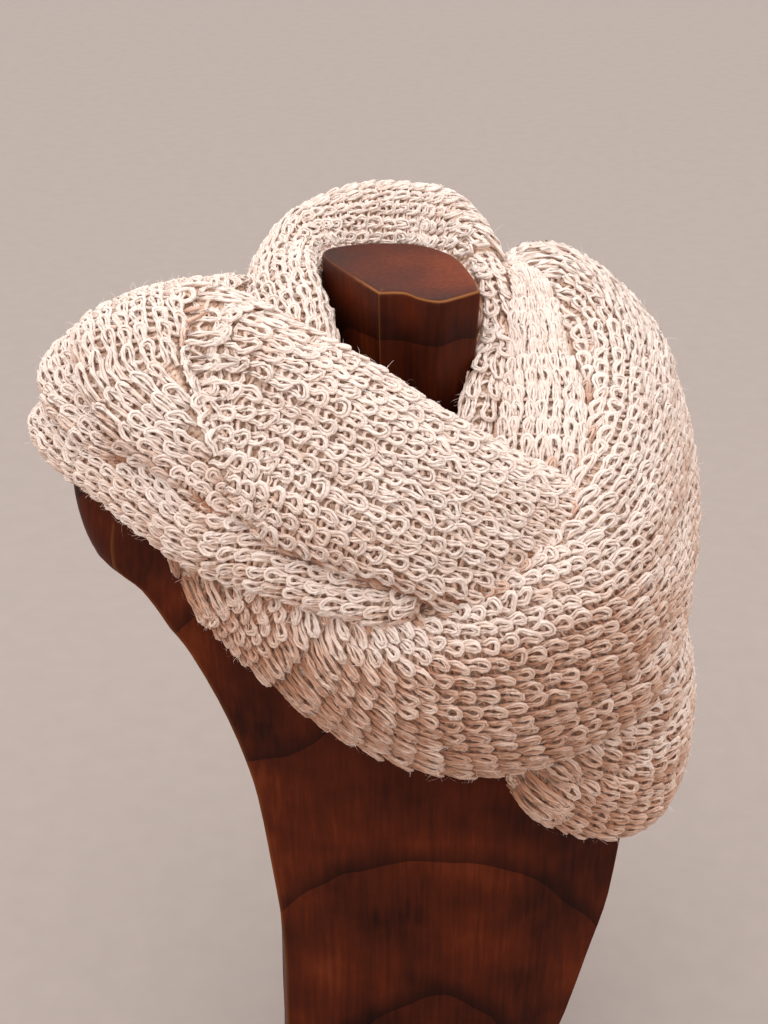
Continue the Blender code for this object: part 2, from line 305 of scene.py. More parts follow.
CREASES = {
    "front_diagonal": (
        (((0.20, 0.16), (0.32, 0.20), (0.54, 0.27), (0.77, 0.30)), 9, -3.4),
        (((0.15, 0.07), (0.35, 0.10), (0.60, 0.16)), 11, 2.0),
        (((0.08, 0.38), (0.19, 0.42), (0.27, 0.46), (0.56, 0.46)), 10, -2.8),
        (((0.10, 0.52), (0.29, 0.58), (0.42, 0.60)), 8, -2.2),
        (((0.30, 0.72), (0.48, 0.70), (0.66, 0.64), (0.85, 0.60)), 12, -2.6),
        (((0.10, 0.66), (0.25, 0.70)), 9, 1.6),
    ),
    "shoulder_fold": (
        (((0.06, 0.44), (0.17, 0.46), (0.30, 0.50), (0.55, 0.57)), 8, -2.6),
        (((0.12, 0.30), (0.27, 0.22), (0.38, 0.23), (0.47, 0.36)), 7, 1.8),
        (((0.60, 0.30), (0.75, 0.42), (0.88, 0.40)), 9, -3.0),
        (((0.66, 0.68), (0.80, 0.62)), 8, 1.8),
    ),
    "lower_fold": (
        (((0.08, 0.40), (0.16, 0.37), (0.32, 0.33), (0.46, 0.28)), 6, -2.2),
        (((0.55, 0.60), (0.70, 0.50), (0.85, 0.55)), 7, -2.4),
    ),
    "under_fold": (
        (((0.10, 0.50), (0.25, 0.58), (0.40, 0.50)), 5, -1.6),
        (((0.60, 0.40), (0.80, 0.50)), 6, -1.8),
    ),
    "front_lower": (
        (((0.42, 0.60), (0.46, 0.58), (0.51, 0.57), (0.57, 0.62)), 13, -5.0),
        (((0.14, 0.30), (0.29, 0.22), (0.51, 0.23), (0.68, 0.28)), 10, -3.0),
        (((0.20, 0.54), (0.32, 0.48), (0.39, 0.49), (0.48, 0.43)), 12, 2.6),
        (((0.18, 0.72), (0.30, 0.70), (0.40, 0.74)), 10, -2.4),
        (((0.55, 0.40), (0.64, 0.50), (0.72, 0.56)), 12, -3.2),
        (((0.59, 0.12), (0.67, 0.12), (0.75, 0.12), (0.84, 0.10)), 8, -3.0),
        (((0.70, 0.34), (0.80, 0.42), (0.90, 0.46)), 14, 3.0),
        (((0.72, 0.66), (0.84, 0.62), (0.94, 0.66)), 12, -4.2),
        (((0.78, 0.82), (0.90, 0.80)), 9, -2.6),
    ),
    "right_lobe": (
        (((0.10, 0.50), (0.21, 0.43), (0.32, 0.36), (0.47, 0.34)), 9, -3.0),
        (((0.16, 0.66), (0.30, 0.60), (0.42, 0.62)), 10, -2.2),
        (((0.55, 0.50), (0.70, 0.44), (0.85, 0.50)), 11, -3.6),
        (((0.60, 0.74), (0.78, 0.70)), 10, 2.2),
    ),
    "inner_right": (
        (((0.34, 0.54), (0.41, 0.78), (0.54, 0.84), (0.91, 0.84)), 6, -2.6),
        (((0.34, 0.32), (0.48, 0.55), (0.66, 0.64), (0.80, 0.66)), 6, -2.4),
    ),
    "collar_back": (
        (((0.36, 0.30), (0.46, 0.20), (0.55, 0.14), (0.62, 0.08)), 6, -1.8),
        (((0.08, 0.36), (0.19, 0.32), (0.30, 0.27)), 7, -2.4),
        (((0.28, 0.62), (0.42, 0.56), (0.54, 0.66)), 9, -3.0),
        (((0.40, 0.80), (0.56, 0.78)), 8, -2.0),
    ),
    "back_low": (
        (((0.12, 0.30), (0.35, 0.42), (0.60, 0.36), (0.80, 0.40)), 15, -5.0),
        (((0.20, 0.60), (0.45, 0.66), (0.68, 0.60)), 16, -4.2),
        (((0.30, 0.82), (0.55, 0.84), (0.78, 0.78)), 13, -3.6),
        (((0.25, 0.16), (0.50, 0.20), (0.66, 0.14)), 13, 3.2),
    ),
}

# The flat cut of each stretch in metres and square metres, and what it lies on.
Cut = namedtuple("Cut", "width length area rests_on")

# Whose walls the end of a stretch may also follow, where it goes on under them.
UNDER = {"front_diagonal": ("shoulder_fold",)}
REACH = 4.6  # how far from the part's own wall the cloth may go on

# The grid that a stretch's surface is worked out on.
GRID_ALONG = 20  # rows between two stations
GRID_ACROSS = 90
EDGE_COLUMNS = 8  # left out at both edges where a row's slant is averaged
MOST_SLANT = 0.92  # the most that the grid's lines are taken to lean towards each other
LEAST_ROW = 0.3  # the shortest that a grid row is taken to be

# A loop is knitted only where something outside can see it: from a little above its place, along
# rays that lean away from straight out by each angle, so many of them round each ring.
CLEAR = 3.5
LOOK_REACH = 250.0
LOOK_RINGS = ((0.0, 1), (0.6, 6), (1.0, 10))
END_SPARE = 0.7  # of a stitch, left free at both ends of a stretch

# Half of one loop, from the middle of the rung to the head: place across the chain as a share
# of the rib, place along it as a share of the stitch, and height above the middle of the cloth.
Bend = namedtuple("Bend", "across along height")

LOOP = (
    Bend(-0.50, 0.18, -1.7),
    Bend(-0.39, 0.08, -1.6),
    Bend(-0.24, 0.10, -1.0),
    Bend(-0.15, 0.30, -0.4),
    Bend(-0.17, 0.58, 0.4),
    Bend(-0.26, 0.86, 1.2),
    Bend(-0.30, 1.10, 1.7),
    Bend(-0.21, 1.29, 1.9),
    Bend(0.0, 1.37, 1.7),
)
# Where the yarn's rings lie along one loop: rows of the table above, and on down its other half.
FINE_RINGS = (0, 2.4, 4.2, 5.6, 6.7, 7.55, 8.45, 9.3, 10.4, 11.8, 13.6)
PLAIN_RINGS = (0, 3.2, 5.4, 7.2, 8.8, 10.6, 12.8)
BACK_OF_NECK = 35.0  # behind this, the loops have the plain rings

# The second strand of each row, which lies in the loops and across the valleys between chains.
TUCK = (
    Bend(-0.50, 0.62, -1.1),
    Bend(-0.33, 0.66, -1.0),
    Bend(-0.16, 0.80, -0.9),
    Bend(0.0, 0.88, -0.8),
    Bend(0.16, 0.80, -0.9),
    Bend(0.33, 0.66, -1.0),
)
TUCK_RADIUS = 1.5
TUCK_SIDES = 3
TUCK_TWIST = 9.0  # length over which its corners turn by one radian
TUCK_TONES = (0, 0.4)

# How much the loops differ from each other.
LOOP_MIDDLE = 0.75  # where along the stitch a loop is measured from
REACH_SWING = 0.08  # of its length
WIDTH_SWING = 0.14
SIDE_SWING = 0.07  # sideways, as a share of the rib
RISE_SWING = 0.35  # in millimetres
LEAN_SWING = 0.10  # of one leg past the other, as a share of the stitch
ROLL_SWING = 0.6  # in millimetres, of one leg above the other
TUCK_SWING = 0.5  # of all these, for the second strand

# The yarn: soft strands, laid loosely round each other.
STRANDS = 3
STRAND_RADIUS = 1.02
STRAND_SPREAD = 1.1  # from the middle of the yarn
STRAND_TONES = (0.1, 0.3)
SIDES = 4  # of each strand
STRAND_TWIST = 34.0  # length of one turn
FLATNESS = 0.5  # how far the strands stand out of the cloth, as a share of their spread along it
# How much a strand's turn, spread and thickness sway along the yarn, and over what length.
TURN_SWAY = (0.8, 11)
SPREAD_SWAY = (0.25, 6.1)
THICKNESS_SWAY = (0.15, 3.7)
MOST_TRIANGLES = 170000  # in one piece of yarn

# Painted shade in the yarn's colour: how much paler it gets for each millimetre it stands out, which
# darkens its valleys, and more so below, and from which upward part of the outward way the painted
# shade of the undersides deepens, and over what range.
PAINTED_HEIGHT_SHADE = 0.06
UNDER_CONTRAST = 2
UNDER_START = 0.5
UNDER_RANGE = 0.7

# The hairs, each a ribbon of four rows.
HAIRS_PER_RING = 0.36  # of the rings along each course
HAIR_LENGTH = 5.0
HAIR_LENGTHS = (0.5, 1.6)  # the shortest and the longest, as shares of that
HAIR_WIDTH = 0.15
HAIR_TAPER = ((0, 1), (0.33, 0.9), (0.66, 0.7), (1, 0.2))  # share of its length and of its width
HAIR_TONES = (0.6, 1.4)
HAIR_ROOT = 1.3  # height above the middle of the yarn
HAIR_STRAY = 0.6  # how far its way strays from the yarn's
HAIR_ROLL = 0.4
HAIR_ARCH = 0.16  # how far it rises, and over what share of a half turn
HAIR_ARCH_SPAN = 0.9
HAIR_CURL = 0.5
HAIR_RUN = 0.8

# The backing shell.
SHELL_DEPTH = 2.6  # how far it lies below the middle of the cloth
SHELL_RIM = 0.22  # near both edges, in shares of the width, it rises
SHELL_RIM_DEPTH = 0.3  # to this share of its depth
SHELL_STEP = 4  # grid rows between two of its rows
SHELL_COLUMN_STEP = 3
SHELL_CORNERS = 3  # how many corners of a face have to lie on the wall

FLOOR_REACH = 12.0
SHARP_ANGLE = 24.0  # in degrees


def signed_power(value, exponent):
    return np.sign(value) * np.abs(value) ** exponent


def curve_between(a, b, c, d, t):
    """A smooth curve from b to c, with a and d the points before and after them."""
    return b + 0.5 * t * (c - a + t * (2 * a - 5 * b + 4 * c - d + t * (3 * (b - c) + d - a)))


def smooth(rows, places):
    """Values at fractional places in a table, on a smooth curve through all its rows."""
    rows = np.asarray(rows, dtype=float)
    last = len(rows) - 1
    padded = np.vstack([2 * rows[0] - rows[1], rows, 2 * rows[-1] - rows[-2]])
    index = np.minimum(places.astype(int), last - 1)
    return curve_between(*(padded[index + k] for k in range(4)), (places - index)[:, None])


def steady(rows, places):
    """The same for a table whose first column grows, on a curve that never overshoots a row."""
    rows = np.asarray(rows, dtype=float)
    steps = np.diff(rows[:, 0])[:, None]
    rise = np.diff(rows, axis=0) / steps
    same = rise[:-1] * rise[1:] > 0
    mean = 2 * rise[:-1] * rise[1:] / np.where(same, rise[:-1] + rise[1:], 1)
    slope = np.vstack([rise[:1], np.where(same, mean, 0), rise[-1:]])
    index = np.minimum(places.astype(int), len(rows) - 2)
    t = (places - index)[:, None]
    a, b = rows[index], rows[index + 1]
    m, n = slope[index] * steps[index], slope[index + 1] * steps[index]
    return a + t * (m + t * (3 * (b - a) - 2 * m - n + t * (m + n - 2 * (b - a))))


def unit(vectors):
    return vectors / np.maximum(np.linalg.norm(vectors, axis=-1, keepdims=True), 1e-9)


def lengths_along(points, axis):
    """The distance along a grid of points, from its first row or column."""
    steps = np.linalg.norm(np.diff(points, axis=axis), axis=-1)
    total = np.cumsum(steps, axis=axis)
    start = np.zeros_like(np.take(total, [0], axis=axis))
    return np.concatenate([start, total], axis=axis)


def section_grid(stretch):
    """The middle of the cloth, with its columns spread evenly by length across the cloth."""
    last = len(stretch.stations) - 1
    places = np.linspace(0, last, last * GRID_ALONG + 1)
    rows = smooth(stretch.stations, places)
    upper, lower, belly = rows[:, 0:3], rows[:, 3:6], rows[:, 6]
    middle = (upper + lower) / 2
    along = (lower - upper) / 2
    half = np.linalg.norm(along, axis=1)
    tuck = np.minimum(stretch.tuck, TUCK_SHARE * half)
    out = middle - np.array(stretch.core)
    out -= along * (np.sum(out * along, axis=1) / half**2)[:, None]
    out = unit(out)
    angles = np.radians(np.linspace(-90 - stretch.curl, 90 + stretch.curl, GRID_ACROSS * 2 + 1))
    depth = np.where(np.abs(angles)[None] <= math.pi / 2, belly[:, None], tuck[:, None])
    rise = depth * signed_power(np.cos(angles), 2 / SQUARENESS)[None]
    sweep = signed_power(np.sin(angles), 2 / SQUARENESS)
    points = middle[:, None] + along[:, None] * sweep[None, :, None] + out[:, None] * rise[..., None]
    across = lengths_along(points, 1)
    shares = np.linspace(0, 1, GRID_ACROSS + 1)
    even = np.empty((len(points), GRID_ACROSS + 1, 3))
    for i, (line, at) in enumerate(zip(points, across)):
        for axis in range(3):
            even[i, :, axis] = np.interp(shares * at[-1], at, line[:, axis])
    return even, across[:, -1]


def crease_heights(name, length, width):
    """How far the creases of a stretch lift or lower each point of its grid."""
    rows = np.arange(len(length))
    shares = np.arange(GRID_ACROSS + 1) / GRID_ACROSS
    heights = np.zeros((len(length), len(shares)))
    for line, reach, depth in CREASES[name]:
        path = smooth(line, np.linspace(0, len(line) - 1, CREASE_STEPS))
        swell = np.zeros_like(heights)
        for k, (along, across) in enumerate(path):
            row = np.interp(along * length[-1], length, rows)
            span = np.interp(row, rows, width)
            far = np.hypot((length - along * length[-1])[:, None], (shares - across)[None] * span)
            fade = math.sin(math.pi * (k + 0.5) / CREASE_STEPS) ** CREASE_FADE
            swell = np.maximum(swell, fade * np.exp(-((far / reach) ** 2)))
        heights += depth * swell
    return heights


class Cloth:
    """The surface of one stretch, which yarn and shell are laid on."""

    def __init__(self, stretch):
        self.stretch = stretch
        self.points, self.width = section_grid(stretch)
        middle = self.points[:, GRID_ACROSS // 2][:, None]
        self.length = lengths_along(middle, 0)[:, 0]
        away = middle[:, 0] - np.array(stretch.core)
        ways = self.outward()
        self.turned = np.sum(away * ways[:, GRID_ACROSS // 2]) < 0
        self.creased = crease_heights(stretch.name, self.length, self.width)
        self.points += ways * (-1 if self.turned else 1) * self.creased[..., None]
        self.normals = self.outward() * (-1 if self.turned else 1)
        down = np.gradient(self.points, axis=0)
        over = np.gradient(self.points, axis=1)
        # how steeply the grid's lines cross, and how many rows a step straight across drifts
        cosine = np.sum(unit(down) * unit(over), axis=-1)
        self.sine = np.sqrt(1 - np.clip(cosine, -MOST_SLANT, MOST_SLANT) ** 2)
        speed = np.maximum(np.linalg.norm(down, axis=-1), LEAST_ROW)
        self.slant = np.clip(cosine, -MOST_SLANT, MOST_SLANT) / self.sine / speed
        self.grid_rows = np.arange(len(self.width))

    def outward(self):
        down = np.gradient(self.points, axis=0)
        over = np.gradient(self.points, axis=1)
        return unit(np.cross(down, over))

    def corners(self, row, share):
        """The four grid corners round fractional places, with the weight of each."""
        high, wide = self.points.shape[0] - 1, self.points.shape[1] - 1
        row = np.clip(row, 0, high - 1e-6)
        column = np.clip(share, 0, 1) * (wide - 1e-6)
        i, j = row.astype(int), column.astype(int)
        s, t = row - i, column - j
        return (
            (i, j, (1 - s) * (1 - t)),
            (i, j + 1, (1 - s) * t),
            (i + 1, j, s * (1 - t)),
            (i + 1, j + 1, s * t),
        )

    def value(self, grid, row, share):
        return sum(weight * grid[i, j] for i, j, weight in self.corners(row, share))

    def at(self, row, share, height):
        """Points at a fractional grid row, a share of the width and a height above the middle."""
        corners = self.corners(row, share)
        place = sum(weight[..., None] * self.points[i, j] for i, j, weight in corners)
        way = unit(sum(weight[..., None] * self.normals[i, j] for i, j, weight in corners))
        return place + way * height[..., None], way

    def in_row(self, values, row):
        """A value that every grid row has one of, at fractional rows."""
        return np.interp(row, self.grid_rows, values)

    def row_at(self, length):
        """The grid row at a length along the middle, also past both ends."""
        row = np.interp(length, self.length, self.grid_rows)
        first = self.length[1] - self.length[0]
        last = self.length[-1] - self.length[-2]
        row = np.where(length < 0, length / first, row)
        past = self.grid_rows[-1] + (length - self.length[-1]) / last
        return np.where(length > self.length[-1], past, row)


def wall_tree(*names):
    """The part's own walls, for finding how far a point lies from them."""
    points, faces = [], []
    for name in names:
        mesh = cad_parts[name].data
        base = len(points)
        points += [vertex.co / MM for vertex in mesh.vertices]
        faces += [[base + k for k in face.vertices] for face in mesh.polygons]
    return BVHTree.FromPolygons(points, faces)


def open_to_view(point, way, everything):
    """Whether a point on the cloth can be seen from somewhere outside the model."""
    start = Vector(point + way * CLEAR)
    across = Vector(way).orthogonal().normalized()
    over = Vector(way).cross(across)
    for tilt, turns in LOOK_RINGS:
        for turn in range(turns):
            angle = 2 * math.pi * turn / turns
            side = across * math.cos(angle) + over * math.sin(angle)
            ray = Vector(way) * math.cos(tilt) + side * math.sin(tilt)
            if everything.ray_cast(start, ray, LOOK_REACH)[0] is None:
                return True
    return False


def chain_layout(cloth, counted, chains):
    """The share of the width where each chain lies, and the space between chains, at every row."""
    stretch = cloth.stretch
    squared = cloth.sine[:, EDGE_COLUMNS:-EDGE_COLUMNS].mean(axis=1)
    room = cloth.width * squared
    count = chains or int(round(room.max() / stretch.rib))
    if counted == "even":
        centres = (np.arange(count) + 0.5) / count
        shares = np.repeat(centres[:, None], len(cloth.width), axis=1)
        spacing = room / count
    else:
        offsets = (np.arange(count) + 0.5) * stretch.rib
        shares = offsets[:, None] / room[None]
        if counted == "lower":
            shares = 1 - shares
        spacing = np.full(len(cloth.width), stretch.rib)
    return shares, spacing


def course_rows(cloth, shares, spacing, starts, side):
    """The grid row of every loop: each course crosses all the chains squarely."""
    rows = np.empty((len(shares), len(starts)))
    middle = len(shares) // 2
    rows[middle] = cloth.row_at(starts)
    for step, ks in ((1, range(middle, len(shares) - 1)), (-1, range(middle, 0, -1))):
        for k in ks:
            share = cloth.in_row(shares[k], rows[k])
            gap = cloth.in_row(spacing, rows[k])
            drift = cloth.value(cloth.slant, rows[k], share) * gap
            rows[k + step] = rows[k] - side * step * drift
    return rows


def loop_profile(rings):
    """One whole loop, from rung to rung."""
    half = [list(bend) for bend in LOOP]
    whole = half + [[-a, y, z] for a, y, z in half[-2::-1]]
    return smooth(whole, np.array(rings, dtype=float))


def kept_loops(cloth, shares, rows, tree, everything):
    """Which loops lie on the part's own wall, in sight: one flag for each chain and course.

    The loops beside those are kept too, so that they fill the seams between folds.
    """
    near = np.zeros(rows.shape, dtype=bool)
    seen = np.zeros(rows.shape, dtype=bool)
    last = cloth.grid_rows[-1]
    for k, row in enumerate(rows):
        share = cloth.in_row(shares[k], row)
        spare = END_SPARE * np.abs(np.gradient(row))
        flat, ways = cloth.at(row, share, -cloth.value(cloth.creased, row, share))
        for j in range(len(row)):
            if not (0.0 < share[j] < 1.0 and spare[j] <= row[j] <= last - spare[j]):
                continue
            if tree.find_nearest(Vector(flat[j]), REACH)[0] is None:
                continue
            near[k, j] = True
            seen[k, j] = open_to_view(flat[j], ways[j], everything)
    beside = np.zeros(rows.shape, dtype=bool)
    beside[1:] |= seen[:-1]
    beside[:-1] |= seen[1:]
    return seen, near & beside & ~seen


def runs(flags):
    """The first and last index of each unbroken run of true flags."""
    found = []
    start = None
    for k, flag in enumerate(list(flags) + [False]):
        if flag and start is None:
            start = k
        if not flag and start is not None:
            found.append((start, k - 1))
            start = None
    return found


class Course:
    """Lays the loops of one stretch, chain by chain along each course."""

    def __init__(self, cloth, tree, everything, chance, counted, chains=None):
        stretch = cloth.stretch
        self.cloth = cloth
        self.chance = chance
        self.rise = EDGING_RISE if chains else 0.0
        self.shares, self.spacing = chain_layout(cloth, counted, chains)
        self.side = -1 if counted == "lower" else 1
        total = cloth.length[-1]
        spare = int(cloth.width.max() / stretch.stitch)
        starts = (np.arange(-spare, int(total / stretch.stitch) + spare) + 0.5) * stretch.stitch
        self.rows = course_rows(cloth, self.shares, self.spacing, starts, self.side)
        self.pitch = np.gradient(self.rows, axis=1)
        seen, self.seams = kept_loops(cloth, self.shares, self.rows, tree, everything)
        self.kept = seen | self.seams

    def clear(self, other):
        """Leaves out the loops that would lie under another course's chains."""
        inner = other.shares[-1] + other.side * other.spacing / 2 / self.cloth.width
        for k, row in enumerate(self.rows):
            share = self.cloth.in_row(self.shares[k], row)
            limit = self.cloth.in_row(inner, row)
            self.kept[k] &= (share - limit) * other.side > 0

    def laid(self, k, j, bends, swing):
        """Grid rows, shares and heights of one loop's points, from its bends."""
        cloth = self.cloth
        across, along, height = bends[:, 0], bends[:, 1], bends[:, 2]
        lean = LEAN_SWING * swing[4] * np.sin(across * 2 * math.pi)
        reach = (along - LOOP_MIDDLE) * (1 + REACH_SWING * swing[0]) + lean
        row = self.rows[k, j] + cloth.stretch.heading * reach * self.pitch[k, j]
        share = cloth.in_row(self.shares[k], row)
        gap = cloth.in_row(self.spacing, row)
        width = cloth.in_row(cloth.width, row)
        out = np.clip(along, 0, 1)
        place = across * (1 + WIDTH_SWING * swing[1] * out) + SIDE_SWING * swing[2] * out
        step = self.side * gap * place
        drift = cloth.value(cloth.slant, row, share)
        sine = cloth.value(cloth.sine, row, share)
        lift = height * cloth.stretch.relief + RISE_SWING * swing[3]
        lift = lift + ROLL_SWING * swing[5] * across + self.rise
        if self.seams[k, j]:
            lift -= SEAM_DROP
        return row - step * drift, share + step / sine / width, lift

    def joined(self, parts, seams):
        """One strand through the loops of a run: its points, outward ways and painted shade."""
        row, share, lift = (np.concatenate(part) for part in zip(*parts))
        path, ways = self.cloth.at(row, share, lift)
        # painted shade: darker in the valleys, where the cloth faces the ground, and in the seams
        under = np.clip((UNDER_START - ways[:, 2]) / UNDER_RANGE, 0, 1)
        pale = PAINTED_HEIGHT_SHADE * lift * (1 + UNDER_CONTRAST * under)
        shade = np.repeat(seams * PAINTED_SEAM_SHADE, len(lift) // len(parts))
        return path, ways, pale - self.cloth.stretch.under * under - shade

    def paths(self):
        """The yarns and the tucked strands of all courses, each as points, ways and painted shade."""
        profiles = (loop_profile(FINE_RINGS), loop_profile(PLAIN_RINGS))
        tuck = np.array(TUCK)
        yarns, tucks = [], []
        for j in range(self.rows.shape[1]):
            for first, last in runs(self.kept[:, j]):
                middle = (first + last) // 2
                share = self.cloth.in_row(self.shares[middle], self.rows[middle, j])
                place, _ = self.cloth.at(self.rows[middle, j], share, np.zeros(1))
                profile = profiles[int(place[0, 1] > BACK_OF_NECK)]
                loops, behind = [], []
                for k in range(first, last + 1):
                    swing = self.chance.normal(0, 1, 6)
                    loops.append(self.laid(k, j, profile, swing))
                    behind.append(self.laid(k, j, tuck, swing * TUCK_SWING))
                seams = self.seams[first : last + 1, j]
                yarns.append(self.joined(loops, seams))
                tucks.append(self.joined(behind, seams))
        return yarns, tucks


def frame_along(path, ways):
    """The sideways and upward ways at each point of a path, and the length up to it."""
    tangent = unit(np.gradient(path, axis=0))
    side = unit(np.cross(tangent, ways))
    return side, np.cross(side, tangent), lengths_along(path[:, None], 0)[:, 0]


def rings_round(centre, radius, side, up, turn, sides):
    """A ring of corners round every point of a line."""
    corners = []
    for corner in range(sides):
        angle = turn + 2 * math.pi * corner / sides
        out = side * np.cos(angle)[:, None] + up * np.sin(angle)[:, None]
        corners.append(centre + radius * out)
    return np.stack(corners, axis=1)


def sway(at, size, length, start):
    return size * np.sin(at / length + start)


def yarn_rings(path, ways, shade, chance):
    """The rings of every strand along a path, with their lengths, and tones that add painted shade to
    random ones.
    """
    side, up, at = frame_along(path, ways)
    phase = chance.uniform(0, 2 * math.pi)
    tubes = []
    for k in range(STRANDS):
        wave = chance.uniform(0, 2 * math.pi, 3)
        turn = phase + 2 * math.pi * (at / STRAND_TWIST + k / STRANDS) + sway(at, *TURN_SWAY, wave[0])
        loose = STRAND_SPREAD * (1 + sway(at, *SPREAD_SWAY, wave[1]))
        centre = path + side * (loose * np.cos(turn))[:, None]
        centre += up * (loose * FLATNESS * np.sin(turn))[:, None]
        thick = STRAND_RADIUS * (1 + sway(at, *THICKNESS_SWAY, wave[2]))[:, None]
        rings = rings_round(centre, thick, side, up, turn, SIDES)
        tubes.append((rings, at, chance.uniform(*STRAND_TONES) + shade))
    return tubes


def tuck_rings(path, ways, shade, chance):
    """The rings of a tucked strand along its path, with their lengths, and tones that add painted
    shade to random ones.
    """
    side, up, at = frame_along(path, ways)
    rings = rings_round(path, TUCK_RADIUS, side, up, at / TUCK_TWIST, TUCK_SIDES)
    return rings, at, chance.uniform(*TUCK_TONES) + shade


def fill_quads(mesh, points, faces):
    """Gives an empty mesh its points and four-sided faces."""
    mesh.vertices.add(len(points))
    mesh.vertices.foreach_set("co", points.astype(np.float32).ravel())
    mesh.loops.add(faces.size)
    mesh.loops.foreach_set("vertex_index", faces.astype(np.int32).ravel())
    mesh.polygons.add(len(faces))
    mesh.polygons.foreach_set("loop_start", np.arange(0, faces.size, 4, dtype=np.int32))
    mesh.update(calc_edges=True)
    mesh.validate()


def add_values(mesh, name, values):
    """Stores one number for each point of a mesh, which its material reads."""
    made = mesh.attributes.new(name, "FLOAT", "POINT")
    made.data.foreach_set("value", values.astype(np.float32))


def tube_mesh(name, tubes):
    """One mesh of many closed tubes, with the length along each, and a tone with painted shade for
    each, as data.
    """
    points, faces, along, around, tone_and_shade = [], [], [], [], []
    base = 0
    for rings, at, shade in tubes:
        n, sides = rings.shape[:2]
        points.append(rings.reshape(-1, 3))
        tone_and_shade.append(np.repeat(shade, sides))
        index = base + np.arange(n * sides).reshape(n, sides)
        after = np.roll(index, -1, axis=1)
        quads = np.stack([index[:-1], index[1:], after[1:], after[:-1]], axis=-1)
        faces.append(quads.reshape(-1, 4))
        lap = np.tile(np.arange(sides + 1) / sides, (n, 1))
        run = np.tile(at[:, None], (1, sides + 1))
        for grid, store in ((run, along), (lap, around)):
            corner = np.stack([grid[:-1, :-1], grid[1:, :-1], grid[1:, 1:], grid[:-1, 1:]], axis=-1)
            store.append(corner.reshape(-1))
        base += n * sides
    mesh = bpy.data.meshes.new(name)
    fill_quads(mesh, np.concatenate(points) * MM, np.concatenate(faces))
    mesh.shade_smooth()
    chart = mesh.uv_layers.new(name="yarn")
    uv = np.stack([np.concatenate(along) / 10, np.concatenate(around)], axis=-1)
    chart.data.foreach_set("uv", uv.astype(np.float32).ravel())
    add_values(mesh, "tone_and_shade", np.concatenate(tone_and_shade))
    return mesh


def fuzz_mesh(name, paths, chance):
    """Fine hairs that stand off the yarn, each a narrow tapering ribbon."""
    roots, outs, alongs = [], [], []
    for path, ways, _ in paths:
        count = max(1, int(len(path) * HAIRS_PER_RING))
        picks = chance.integers(0, len(path), count)
        roots.append(path[picks])
        outs.append(ways[picks])
        alongs.append(unit(np.gradient(path, axis=0))[picks])
    roots, outs, alongs = (np.concatenate(part) for part in (roots, outs, alongs))
    count = len(roots)
    length = HAIR_LENGTH * chance.uniform(*HAIR_LENGTHS, count)[:, None]
    ends = chance.choice([-1, 1], count)[:, None]
    way = unit(alongs * ends + HAIR_STRAY * chance.normal(0, 1, (count, 3)))
    curl = unit(chance.normal(0, 1, (count, 3)))
    side = unit(np.cross(way, outs + HAIR_ROLL * chance.normal(0, 1, (count, 3)))) * HAIR_WIDTH / 2
    rings = []
    for share, thin in HAIR_TAPER:
        arch = length * HAIR_ARCH * math.sin(share * math.pi * HAIR_ARCH_SPAN)
        bend = curl * length * HAIR_CURL * share * share
        middle = roots + way * length * share * HAIR_RUN + outs * (HAIR_ROOT + arch) + bend
        rings.append(middle - side * thin)
        rings.append(middle + side * thin)
    points = np.stack(rings, axis=1).reshape(-1, 3) * MM
    first = np.arange(count)[:, None] * len(rings)
    strips = range(0, len(rings) - 2, 2)
    faces = np.concatenate([first + np.array([k, k + 1, k + 3, k + 2]) for k in strips])
    mesh = bpy.data.meshes.new(name)
    fill_quads(mesh, points, faces)
    add_values(mesh, "tone_and_shade", np.repeat(chance.uniform(*HAIR_TONES, count), len(rings)))
    return mesh


def show(name, mesh, look):
    made = bpy.data.objects.new(name, mesh)
    bpy.context.scene.collection.objects.link(made)
    mesh.materials.append(look)
    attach(made, "root")
    return made


def shell_mesh(name, cloth, tree):
    """The thin backing under the yarn."""
    rows = np.arange(SHELL_STEP, cloth.points.shape[0] - SHELL_STEP, SHELL_STEP)
    columns = np.arange(0, GRID_ACROSS + 1, SHELL_COLUMN_STEP)
    i, j = np.meshgrid(rows, columns, indexing="ij")
    edge = np.minimum(j, GRID_ACROSS - j) / GRID_ACROSS
    depth = -SHELL_DEPTH * np.clip(edge / SHELL_RIM, SHELL_RIM_DEPTH, 1)
    points, _ = cloth.at(i.astype(float), j / GRID_ACROSS, depth)
    creased = cloth.value(cloth.creased, i.astype(float), j / GRID_ACROSS)
    middle, _ = cloth.at(i.astype(float), j / GRID_ACROSS, -creased)
    near = np.array(
        [[tree.find_nearest(Vector(point), REACH)[0] is not None for point in line] for line in middle]
    )
    faces = []
    wide = len(columns)
    for r in range(len(rows) - 1):
        for c in range(wide - 1):
            if near[r : r + 2, c : c + 2].sum() >= SHELL_CORNERS:
                a = r * wide + c
                face = (a, a + wide, a + wide + 1, a + 1)
                faces.append(face[::-1] if cloth.turned else face)
    used = sorted({v for face in faces for v in face})
    number = {v: k for k, v in enumerate(used)}
    flat = points.reshape(-1, 3) * MM
    mesh = bpy.data.meshes.new(name)
    mesh.from_pydata(
        [tuple(flat[v]) for v in used], [], [tuple(number[v] for v in face) for face in faces]
    )
    mesh.shade_smooth()
    return mesh


def new_material(name):
    made = bpy.data.materials.new(name)
    made.use_nodes = True
    return made, made.node_tree, made.node_tree.nodes["Principled BSDF"]


def feed(tree, node, inputs):
    """Sets a node's inputs, or links them where the value is another node's output."""
    for name, value in inputs.items():
        if isinstance(value, bpy.types.NodeSocket):
            tree.links.new(value, node.inputs[name])
        else:
            node.inputs[name].default_value = value


def add_node(tree, kind, output, inputs=None, **settings):
    """Adds a shader node and returns the output that is named."""
    made = tree.nodes.new("ShaderNode" + kind)
    for name, value in settings.items():
        setattr(made, name, value)
    feed(tree, made, inputs or {})
    return made.outputs[output]


def add_share(tree, value, share, rest):
    """A share of one value, added to another."""
    return add_node(tree, "Math", 0, {0: value, 1: share, 2: rest}, operation="MULTIPLY_ADD")


